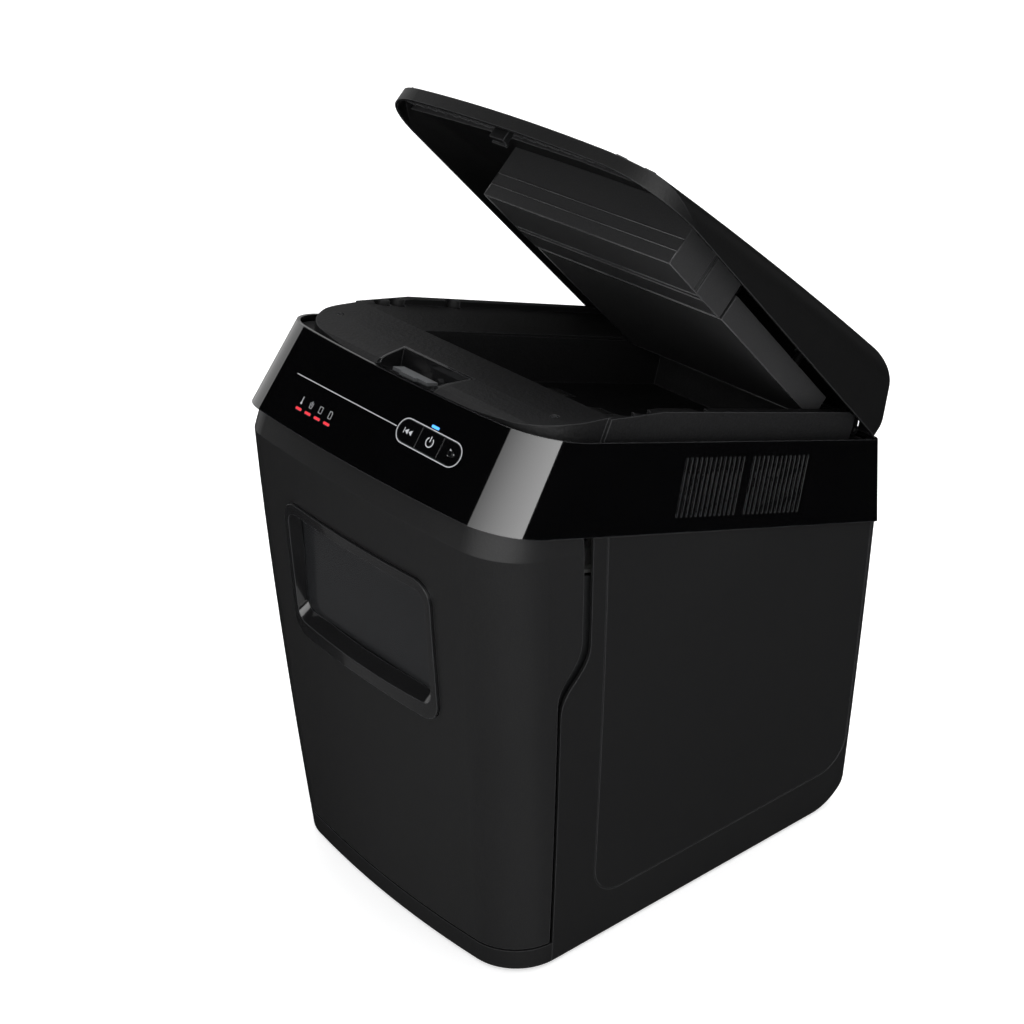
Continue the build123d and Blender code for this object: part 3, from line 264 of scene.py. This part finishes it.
# The head band, window frame and latch tray are piano-black ABS, polished in the mould and left bare.
# A trace of orange peel and hairline wiping marks show only where the gloss mirrors a light.
def polished(name, colour, rough, edge, coat):
    """A mirror-polished plastic with a trace of orange peel and hairline marks."""
    finish = bpy.data.materials.new(name)
    finish.use_nodes = True
    nodes = finish.node_tree.nodes
    links = finish.node_tree.links
    shader = nodes["Principled BSDF"]
    shader.inputs["Coat Weight"].default_value = coat
    shader.inputs["Coat Roughness"].default_value = 0.03
    place = nodes.new("ShaderNodeTexCoord")
    depth = nodes.new("ShaderNodeTexNoise")
    depth.inputs["Scale"].default_value = 25
    depths = nodes.new("ShaderNodeValToRGB")
    depths.color_ramp.elements[0].color = (*[part * 0.8 for part in colour], 1)
    depths.color_ramp.elements[1].color = (*[part * 1.25 for part in colour], 1)
    links.new(place.outputs["Object"], depth.inputs["Vector"])
    links.new(depth.outputs["Fac"], depths.inputs["Fac"])
    stretch = nodes.new("ShaderNodeMapping")
    stretch.inputs["Scale"].default_value = (0.6, 0.6, 7.0)
    wipes = nodes.new("ShaderNodeTexNoise")
    wipes.inputs["Scale"].default_value = 60
    wipes.inputs["Detail"].default_value = 8
    wipes.inputs["Roughness"].default_value = 0.8
    links.new(place.outputs["Object"], stretch.inputs["Vector"])
    links.new(stretch.outputs["Vector"], wipes.inputs["Vector"])
    haze = nodes.new("ShaderNodeMapRange")
    haze.inputs["From Min"].default_value = 0.35
    haze.inputs["To Min"].default_value = rough
    haze.inputs["To Max"].default_value = rough + 0.06
    links.new(wipes.outputs["Fac"], haze.inputs["Value"])
    links.new(haze.outputs["Result"], shader.inputs["Roughness"])
    peel = nodes.new("ShaderNodeTexNoise")
    peel.inputs["Scale"].default_value = 140
    links.new(place.outputs["Object"], peel.inputs["Vector"])
    radius = nodes.new("ShaderNodeBevel")
    radius.samples = 4
    radius.inputs["Radius"].default_value = edge
    # The sharp edges get a painted highlight in the base colour.
    painted_edge_highlight(finish, radius, depths.outputs["Color"], edge_highlight_share)
    relief = nodes.new("ShaderNodeBump")
    relief.inputs["Strength"].default_value = 0.05
    relief.inputs["Distance"].default_value = 0.0002
    links.new(peel.outputs["Fac"], relief.inputs["Height"])
    links.new(radius.outputs["Normal"], relief.inputs["Normal"])
    links.new(relief.outputs["Normal"], shader.inputs["Normal"])
    return finish


piano_black = polished("piano_black", (0.0016, 0.0016, 0.0018), 0.05, 0.0011, 1.0)
dress(piano_black, "head_band")
frame_gloss = polished("frame_gloss", (0.0105, 0.0105, 0.011), 0.12, 0.0014, 0.6)
dress(frame_gloss, "window_bezel", "latch_tray")
key_gloss = polished("key_gloss", (0.002, 0.002, 0.0023), 0.08, 0.0005, 0.8)
dress(key_gloss, "reverse_key", "power_key", "forward_key")

# The smoked pane is clear acrylic, tinted in the mass and clipped in behind the window frame.
# Fine rub marks from the bin's contents dull it a little.
pane_tint = (0.03, 0.031, 0.033, 1)
smoked = bpy.data.materials.new("smoked_acrylic")
smoked.use_nodes = True
smoked_nodes = smoked.node_tree.nodes
smoked_shader = smoked_nodes["Principled BSDF"]
smoked_shader.inputs["Base Color"].default_value = pane_tint
smoked_shader.inputs["Transmission Weight"].default_value = 0.5
smoked_shader.inputs["IOR"].default_value = 1.49
smoked_shader.inputs["Specular IOR Level"].default_value = 0.22
rubs = smoked_nodes.new("ShaderNodeTexNoise")
rubs.inputs["Scale"].default_value = 420
rubs.inputs["Detail"].default_value = 6
rub_range = smoked_nodes.new("ShaderNodeMapRange")
rub_range.inputs["To Min"].default_value = 0.04
rub_range.inputs["To Max"].default_value = 0.22
smoked.node_tree.links.new(rubs.outputs["Fac"], rub_range.inputs["Value"])
smoked.node_tree.links.new(rub_range.outputs["Result"], smoked_shader.inputs["Roughness"])
dress(smoked, "window_pane")


# The marks on the sloping front are printed in silver-white ink, a few hundredths of a millimetre thick.
# Each print follows the bowed front, and the ones on the keys move with their keys.
fascia_foot = Vector((0, -0.238, 0.47332))
fascia_up = Vector((0, 0.600297, 0.799777))
fascia_out = Vector((0, -0.799777, 0.600297))
ink_lift = 0.00012


def skin_of(*names):
    """The joined outer skin of some CAD nodes, for laying thin pieces on."""
    corners = []
    faces = []
    for name in names:
        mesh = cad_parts[name].data
        first = len(corners)
        corners += [vertex.co.copy() for vertex in mesh.vertices]
        faces += [[first + index for index in face.vertices] for face in mesh.polygons]
    return BVHTree.FromPolygons(corners, faces)


fascia_skin = skin_of("head_band", "reverse_key", "power_key", "forward_key")


def ribbon(points, width, closed=False):
    """A line of even width along some (across, up) points in millimetres, as four-sided patches."""
    count = len(points)
    sides = []
    for index in range(count):
        before = points[index - 1] if closed or index else points[0]
        after = points[(index + 1) % count] if closed or index < count - 1 else points[-1]
        run = Vector((after[0] - before[0], after[1] - before[1])).normalized()
        away = Vector((-run.y, run.x)) * (width / 2)
        here = Vector(points[index])
        sides.append((here + away, here - away))
    stops = sides[1:] + sides[:1] if closed else sides[1:]
    return [(start[0], stop[0], stop[1], start[1]) for start, stop in zip(sides, stops)]


def arc(centre_x, centre_v, radius, start, stop, steps):
    """Points along an arc, in millimetres and degrees."""
    turns = [math.radians(start + (stop - start) * step / steps) for step in range(steps + 1)]
    return [(centre_x + radius * math.cos(turn), centre_v + radius * math.sin(turn)) for turn in turns]


ink = bpy.data.materials.new("silver_ink")
ink.use_nodes = True
ink_nodes = ink.node_tree.nodes
ink_shader = ink_nodes["Principled BSDF"]
ink_shader.inputs["Roughness"].default_value = 0.45
ink_flecks = ink_nodes.new("ShaderNodeTexNoise")
ink_flecks.inputs["Scale"].default_value = 2500
ink_tone = ink_nodes.new("ShaderNodeValToRGB")
ink_tone.color_ramp.elements[0].color = (0.42, 0.43, 0.45, 1)
ink_tone.color_ramp.elements[1].color = (0.66, 0.67, 0.70, 1)
ink.node_tree.links.new(ink_flecks.outputs["Fac"], ink_tone.inputs["Fac"])
ink.node_tree.links.new(ink_tone.outputs["Color"], ink_shader.inputs["Base Color"])


def printed(name, patches, body):
    """A print on the bowed front, made of flat patches given in millimetres on the fascia's plane."""
    form = bmesh.new()
    for patch in patches:
        form.faces.new([form.verts.new((x / 1000, v / 1000, 0)) for x, v in patch])
    bmesh.ops.triangulate(form, faces=form.faces)
    for vertex in form.verts:
        start = fascia_foot + Vector((vertex.co.x, 0, 0)) + fascia_up * vertex.co.y + fascia_out * 0.03
        hit = fascia_skin.ray_cast(start, -fascia_out)[0]
        vertex.co = (hit if hit else start - fascia_out * 0.03) + fascia_out * ink_lift
    bmesh.ops.recalc_face_normals(form, faces=form.faces)
    mark = bpy.data.objects.new(name, bpy.data.meshes.new(name))
    form.to_mesh(mark.data)
    form.free()
    mark.data.materials.append(ink)
    bpy.context.scene.collection.objects.link(mark)
    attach(mark, body)


pill_left, pill_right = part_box("reverse_key")[0][0] * 1000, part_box("forward_key")[1][0] * 1000
pill_middle = (pill_left + pill_right) / 2
pill_v, pill_radius, pill_reach = 48.0, 10.9, 28.5
pill_steps = [step * pill_reach / 5 - pill_reach for step in range(1, 10)]
pill_line = [(pill_middle + along, pill_v - pill_radius) for along in pill_steps]
pill_line += arc(pill_middle + pill_reach, pill_v, pill_radius, -90, 90, 14)
pill_line += [(pill_middle - along, pill_v + pill_radius) for along in pill_steps]
pill_line += arc(pill_middle - pill_reach, pill_v, pill_radius, 90, 270, 14)
printed("key_surround", ribbon(pill_line, 0.8, closed=True), "cabinet")
printed("fascia_line", ribbon([(-115 + step * 3.8, 48.0) for step in range(41)], 0.7), "cabinet")
reverse_mark = ribbon([(47.2, 45.6), (47.2, 50.4)], 0.8)
reverse_mark += [((52.2, 45.6), (52.2, 50.4), (48.0, 48.0)), ((56.8, 45.6), (56.8, 50.4), (52.6, 48.0))]
printed("reverse_mark", reverse_mark, "reverse_button")
power_mark = ribbon(arc(79.5, 48.4, 4.1, 125, 415, 26), 1.0) + ribbon([(79.5, 48.6), (79.5, 53.6)], 1.0)
printed("power_mark", power_mark, "power_button")
printed("forward_mark", [((103.4, 45.2), (110.2, 48.5), (103.4, 51.8))], "forward_button")
heat_mark = ribbon([(-90, 27.6), (-90, 32.6)], 0.9) + [arc(-90, 26.6, 1.2, 0, 330, 11)]
bin_mark = ribbon([(-77.2, 31.2), (-76.6, 26.2), (-73.4, 26.2), (-72.8, 31.2)], 0.6)
bin_mark += ribbon([(-75, 32.6), (-75, 28.4)], 0.6)
door_mark = ribbon([(-62.2, 26.2), (-62.2, 32.0), (-57.8, 32.0), (-57.8, 26.2)], 0.6, closed=True)
sheet_corners = [(-47.0, 26.0), (-47.0, 32.4), (-44.2, 32.4), (-43.0, 31.0), (-43.0, 26.0)]
sheet_mark = ribbon(sheet_corners, 0.6, closed=True)
printed("warning_marks", heat_mark + bin_mark + door_mark + sheet_mark, "cabinet")


# The small lenses are dyed acrylic bars that light guides shine into from the board behind.
# The power light is lit. The warning lenses are unlit, and the faint glow over their dye is painted light.
def lens(name, colour, glow):
    """A dyed clear bar with a soft glow, its colour streaked with fine noise."""
    finish = bpy.data.materials.new(name)
    finish.use_nodes = True
    nodes = finish.node_tree.nodes
    shader = nodes["Principled BSDF"]
    shader.inputs["Base Color"].default_value = (*colour, 1)
    shader.inputs["Roughness"].default_value = 0.2
    shader.inputs["Emission Strength"].default_value = glow
    streaks = nodes.new("ShaderNodeTexNoise")
    streaks.inputs["Scale"].default_value = 900
    shade = nodes.new("ShaderNodeValToRGB")
    shade.color_ramp.elements[0].color = (*[part * 0.7 for part in colour], 1)
    shade.color_ramp.elements[1].color = (*colour, 1)
    finish.node_tree.links.new(streaks.outputs["Fac"], shade.inputs["Fac"])
    finish.node_tree.links.new(shade.outputs["Color"], shader.inputs["Emission Color"])
    return finish


# The unlit warning lenses are given a faint painted glow.
dress(lens("warning_red", (0.75, 0.035, 0.05), 0.45), "warning_lenses")
dress(lens("power_blue", (0.06, 0.32, 0.95), 1.5), "power_lens")


# The deck is moulded in the same black with a coarser, leathery grain that hides scratches from the paper.
# The sprung catch plate in the latch tray is unpainted grey nylon.
deck_grain = moulded("deck_grain", (0.0135, 0.0135, 0.0142), 0.48, 0.0016, 0.00032, 0.0012, 0.24, 0.08)
dress(deck_grain, "deck")
catch_grey = moulded("catch_grey", (0.13, 0.135, 0.14), 0.42, 0.0010, 0.00008, 0.0006, 0.5, 0.05)
dress(catch_grey, "lid_catch")

slope_sin = 0.289701
slope_cos = 0.957117


def on_head(x, e, n):
    """A point of the sloping head: across, forward from the rim's rear edge, and up from the rim."""
    return Vector((x, 231 - slope_cos * e + slope_sin * n, 415 + slope_sin * e + slope_cos * n)) / 1000


head_up = Vector((0, slope_sin, slope_cos))
deck_skin = skin_of("deck", "latch_tray")


def laid_on_deck(name, patches, body, finish, lift):
    """A thin mark laid on the deck, given in millimetres across and forward."""
    form = bmesh.new()
    for patch in patches:
        corners = []
        for x, e in patch:
            start = on_head(x, e, 60)
            hit = deck_skin.ray_cast(start, -head_up)[0]
            corners.append(form.verts.new((hit if hit else on_head(x, e, 0)) + head_up * lift))
        form.faces.new(corners)
    bmesh.ops.recalc_face_normals(form, faces=form.faces)
    mark = bpy.data.objects.new(name, bpy.data.meshes.new(name))
    form.to_mesh(mark.data)
    form.free()
    mark.data.materials.append(finish)
    bpy.context.scene.collection.objects.link(mark)
    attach(mark, body)


arrow_patch = ((-5, 419.2), (-9.0, 424.4), (-1.0, 424.4))
laid_on_deck("catch_arrow", [arrow_patch], "cabinet", ink, 0.00015)


# The lid, its feed chute and the sprung presser are satin mouldings, a shade glossier than the cabinet.
# Under the lid's front edge a honeycomb of thin ribs stiffens the skin.
lid_satin = moulded("lid_satin", (0.0070, 0.0070, 0.0073), 0.40, 0.0008, 0.00009, 0.0013, 0.34, 0.05)
dress(lid_satin, "lid_shell")
chute_satin = moulded("chute_satin", (0.034, 0.034, 0.035), 0.34, 0.0008, 0.00007, 0.0013, 0.42, 0.05)
dress(chute_satin, "feed_chute", "presser_plate")

lid_turn = math.radians(30)
hinge_e, hinge_n = 4.5, 0.5


def on_lid(x, e, n):
    """A point of the standing-open lid, given where it would be with the lid shut."""
    ahead, above = e - hinge_e, n - hinge_n
    turned_e = hinge_e + ahead * math.cos(lid_turn) - above * math.sin(lid_turn)
    turned_n = hinge_n + ahead * math.sin(lid_turn) + above * math.cos(lid_turn)
    return on_head(x, turned_e, turned_n)


lid_up = (on_lid(0, 0, 10) - on_lid(0, 0, 0)).normalized()
lid_skin = skin_of("lid_shell")
cell_radius = 8.6
rib_half = 0.55
rib_height = 0.0042
rib_root = 0.0008


def under_skin(x, e):
    """Where the lid's inner skin is above a spot of its open underside, or nothing beyond its walls."""
    hit = lid_skin.ray_cast(on_lid(x, e, 1.2), lid_up)
    return hit[0] if hit[0] and hit[3] > 0.004 else None


def honeycomb(x_reach, e_low, e_high):
    """The edges of a field of six-sided cells, each once."""
    edges = {}
    rows = int((e_high - e_low) / (cell_radius * 1.5)) + 1
    across = cell_radius * math.sqrt(3)
    for row in range(rows):
        for column in range(-int(x_reach / across) - 1, int(x_reach / across) + 2):
            middle = (column * across + (row % 2) * across / 2, e_low + row * cell_radius * 1.5)
            rim = []
            for turn in (math.radians(60 * corner) for corner in range(6)):
                spot = (middle[0] + cell_radius * math.sin(turn), middle[1] + cell_radius * math.cos(turn))
                rim.append((round(spot[0], 1), round(spot[1], 1)))
            for ends in map(sorted, zip(rim, rim[1:] + rim[:1])):
                if all(abs(x) <= x_reach and e_low - 4 <= e <= e_high for x, e in ends):
                    edges[tuple(ends)] = True
    return list(edges)


rib_form = bmesh.new()
rib_lines = honeycomb(168, 392, 428)
rib_lines += [((-172, 386), (-60, 386)), ((-60, 386), (60, 386)), ((60, 386), (172, 386))]
for (x0, e0), (x1, e1) in rib_lines:
    roots = [under_skin(x0, e0), under_skin(x1, e1)]
    if None in roots:
        continue
    run = (roots[1] - roots[0]).normalized()
    away = run.cross(lid_up).normalized() * (rib_half / 1000)
    ring = []
    for root in roots:
        top, bottom = root + lid_up * rib_root, root - lid_up * rib_height
        ring.append([rib_form.verts.new(p) for p in (top + away, bottom + away, bottom - away, top - away)])
    for k in range(4):
        rib_form.faces.new((ring[0][k], ring[0][(k + 1) % 4], ring[1][(k + 1) % 4], ring[1][k]))
    rib_form.faces.new(ring[0][::-1])
    rib_form.faces.new(ring[1])
bmesh.ops.recalc_face_normals(rib_form, faces=rib_form.faces)
ribs = bpy.data.objects.new("lid_ribs", bpy.data.meshes.new("lid_ribs"))
rib_form.to_mesh(ribs.data)
rib_form.free()
ribs.data.materials.append(chute_satin)
bpy.context.scene.collection.objects.link(ribs)
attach(ribs, "lid")


# Thin beads run along the feed chute's lower edges and slot, and round the presser plate's rim.
# They are moulded with the parts, stiffen their thin walls and let the paper slide off without catching.
bead_reach = 0.55
bead_sides = 8


def bead(form, start, stop):
    """A thin half-sunk round bead between two spots of the open lid, given in millimetres."""
    ends = (on_lid(*start), on_lid(*stop))
    run = (ends[1] - ends[0]).normalized()
    sideways = run.orthogonal().normalized()
    rings = []
    for end in ends:
        ring = []
        for side in range(bead_sides):
            turn = 2 * math.pi * side / bead_sides
            away = (Matrix.Rotation(turn, 3, run) @ sideways) * (bead_reach / 1000)
            ring.append(form.verts.new(end + away))
        rings.append(ring)
    for side in range(bead_sides):
        after = (side + 1) % bead_sides
        form.faces.new((rings[0][side], rings[0][after], rings[1][after], rings[1][side]))
    form.faces.new(rings[0][::-1])
    form.faces.new(rings[1])


def beaded(name, runs, body):
    """One piece made of several beads that rides on a body."""
    form = bmesh.new()
    for start, stop in runs:
        bead(form, start, stop)
    bmesh.ops.recalc_face_normals(form, faces=form.faces)
    piece = bpy.data.objects.new(name, bpy.data.meshes.new(name))
    form.to_mesh(piece.data)
    form.free()
    for face in piece.data.polygons:
        face.use_smooth = len(face.vertices) == 4
    piece.data.materials.append(bead_satin)
    bpy.context.scene.collection.objects.link(piece)
    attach(piece, body)


bead_satin = moulded("bead_satin", (0.060, 0.060, 0.062), 0.26, 0.0008, 0.00004, 0.0004, 0.5, 0.04)
chute_n, plate_n = -26.0, -25.0
left_x, right_x = -74.4, 164.4
chute_low, chute_high = 254.2, 339.3
chute_face, face_top = 340.0, -2.5
slot_rims = (281.4, 288.6)
face_step = -14.0
plate_low, plate_high = 72.7, 249.3
chute_runs = [((left_x, e, chute_n), (right_x, e, chute_n)) for e in (chute_low, *slot_rims, chute_high)]
chute_runs += [((x, chute_low, chute_n), (x, chute_high, chute_n)) for x in (left_x, right_x)]
chute_runs += [((left_x, chute_face, n), (right_x, chute_face, n)) for n in (face_step, face_top)]
chute_runs += [((x, chute_face, chute_n), (x, chute_face, face_top)) for x in (left_x, right_x)]
beaded("chute_beads", chute_runs, "lid")
plate_runs = [((left_x, e, plate_n), (right_x, e, plate_n)) for e in (plate_low, plate_high)]
plate_runs += [((x, plate_low, plate_n), (x, plate_high, plate_n)) for x in (left_x, right_x)]
beaded("presser_beads", plate_runs, "presser")


# The cutting unit is steel: hardened and oiled cylinders, ground shafts and pins, and zinc-plated plates.
# Turning marks run round the shafts, and the plating has the cloudy spangle of a barrel bath.
def metal(name, dark, bright, rough, mark_scale, stretch_x):
    """A bare or plated metal with fine marks drawn out along one direction."""
    finish = bpy.data.materials.new(name)
    finish.use_nodes = True
    nodes = finish.node_tree.nodes
    links = finish.node_tree.links
    shader = nodes["Principled BSDF"]
    shader.inputs["Metallic"].default_value = 1.0
    place = nodes.new("ShaderNodeTexCoord")
    draw = nodes.new("ShaderNodeMapping")
    draw.inputs["Scale"].default_value = (stretch_x, 1, 1)
    marks = nodes.new("ShaderNodeTexNoise")
    marks.inputs["Scale"].default_value = mark_scale
    marks.inputs["Detail"].default_value = 7
    links.new(place.outputs["Object"], draw.inputs["Vector"])
    links.new(draw.outputs["Vector"], marks.inputs["Vector"])
    tone = nodes.new("ShaderNodeValToRGB")
    tone.color_ramp.elements[0].position = 0.3
    tone.color_ramp.elements[1].position = 0.7
    tone.color_ramp.elements[0].color = (*dark, 1)
    tone.color_ramp.elements[1].color = (*bright, 1)
    links.new(marks.outputs["Fac"], tone.inputs["Fac"])
    links.new(tone.outputs["Color"], shader.inputs["Base Color"])
    haze = nodes.new("ShaderNodeMapRange")
    haze.inputs["To Min"].default_value = rough - 0.08
    haze.inputs["To Max"].default_value = rough + 0.12
    links.new(marks.outputs["Fac"], haze.inputs["Value"])
    links.new(haze.outputs["Result"], shader.inputs["Roughness"])
    relief = nodes.new("ShaderNodeBump")
    relief.inputs["Strength"].default_value = 0.15
    relief.inputs["Distance"].default_value = 0.0002
    links.new(marks.outputs["Fac"], relief.inputs["Height"])
    links.new(relief.outputs["Normal"], shader.inputs["Normal"])
    return finish


ground_steel = metal("ground_steel", (0.40, 0.41, 0.42), (0.62, 0.63, 0.64), 0.28, 900, 6.0)
dress(ground_steel, "hinge_pins", "tie_rods", "gear_axles", "motor_shaft")
dress(ground_steel, "rear_sync_gear", "front_sync_gear", "main_gear")
dress(ground_steel, "catch_spring", "presser_springs", "deck_screws")
oiled_steel = metal("oiled_steel", (0.10, 0.10, 0.105), (0.30, 0.30, 0.31), 0.30, 420, 1.0)
dress(oiled_steel, "rear_cutter", "front_cutter")
zinc_plate = metal("zinc_plate", (0.42, 0.43, 0.43), (0.63, 0.64, 0.62), 0.42, 110, 1.0)
dress(zinc_plate, "left_plate", "right_plate", "mech_frame", "gearbox_plate", "motor")
sintered_bronze = metal("sintered_bronze", (0.30, 0.19, 0.08), (0.55, 0.37, 0.18), 0.45, 1500, 1.0)
dress(sintered_bronze, "shaft_bushes")

# The quieter running parts are acetal: combs, compound gears, rollers, pulley and fan, in natural off-white.
# Feet, tyres and belt are black rubber with the dull bloom of its wax.
acetal = moulded("acetal", (0.60, 0.59, 0.54), 0.38, 0.0018, 0.00005, 0.0004, 0.5, 0.06)
dress(acetal, "rear_comb", "front_comb", "second_gear", "first_gear", "cooling_fan")
dress(acetal, "front_feed_roller", "rear_feed_roller", "drive_pulley", "bin_rails")
rubber = moulded("rubber", (0.020, 0.020, 0.019), 0.78, 0.0009, 0.00022, 0.0006, 0.3, 0.08)
dress(rubber, "feet", "front_roller_tyres", "rear_roller_tyres", "feed_belt")

# The two circuit boards are glass-epoxy with green solder mask, and their copper shows through it as
# lighter runs.
board_green = bpy.data.materials.new("board_green")
board_green.use_nodes = True
green_nodes = board_green.node_tree.nodes
green_shader = green_nodes["Principled BSDF"]
green_shader.inputs["Roughness"].default_value = 0.32
green_runs = green_nodes.new("ShaderNodeTexBrick")
green_runs.inputs["Scale"].default_value = 260
green_runs.inputs["Color1"].default_value = (0.012, 0.085, 0.030, 1)
green_runs.inputs["Color2"].default_value = (0.016, 0.110, 0.040, 1)
green_runs.inputs["Mortar"].default_value = (0.030, 0.200, 0.075, 1)
green_place = green_nodes.new("ShaderNodeTexCoord")
board_green.node_tree.links.new(green_place.outputs["Object"], green_runs.inputs["Vector"])
board_green.node_tree.links.new(green_runs.outputs["Color"], green_shader.inputs["Base Color"])
dress(board_green, "control_board", "power_board")
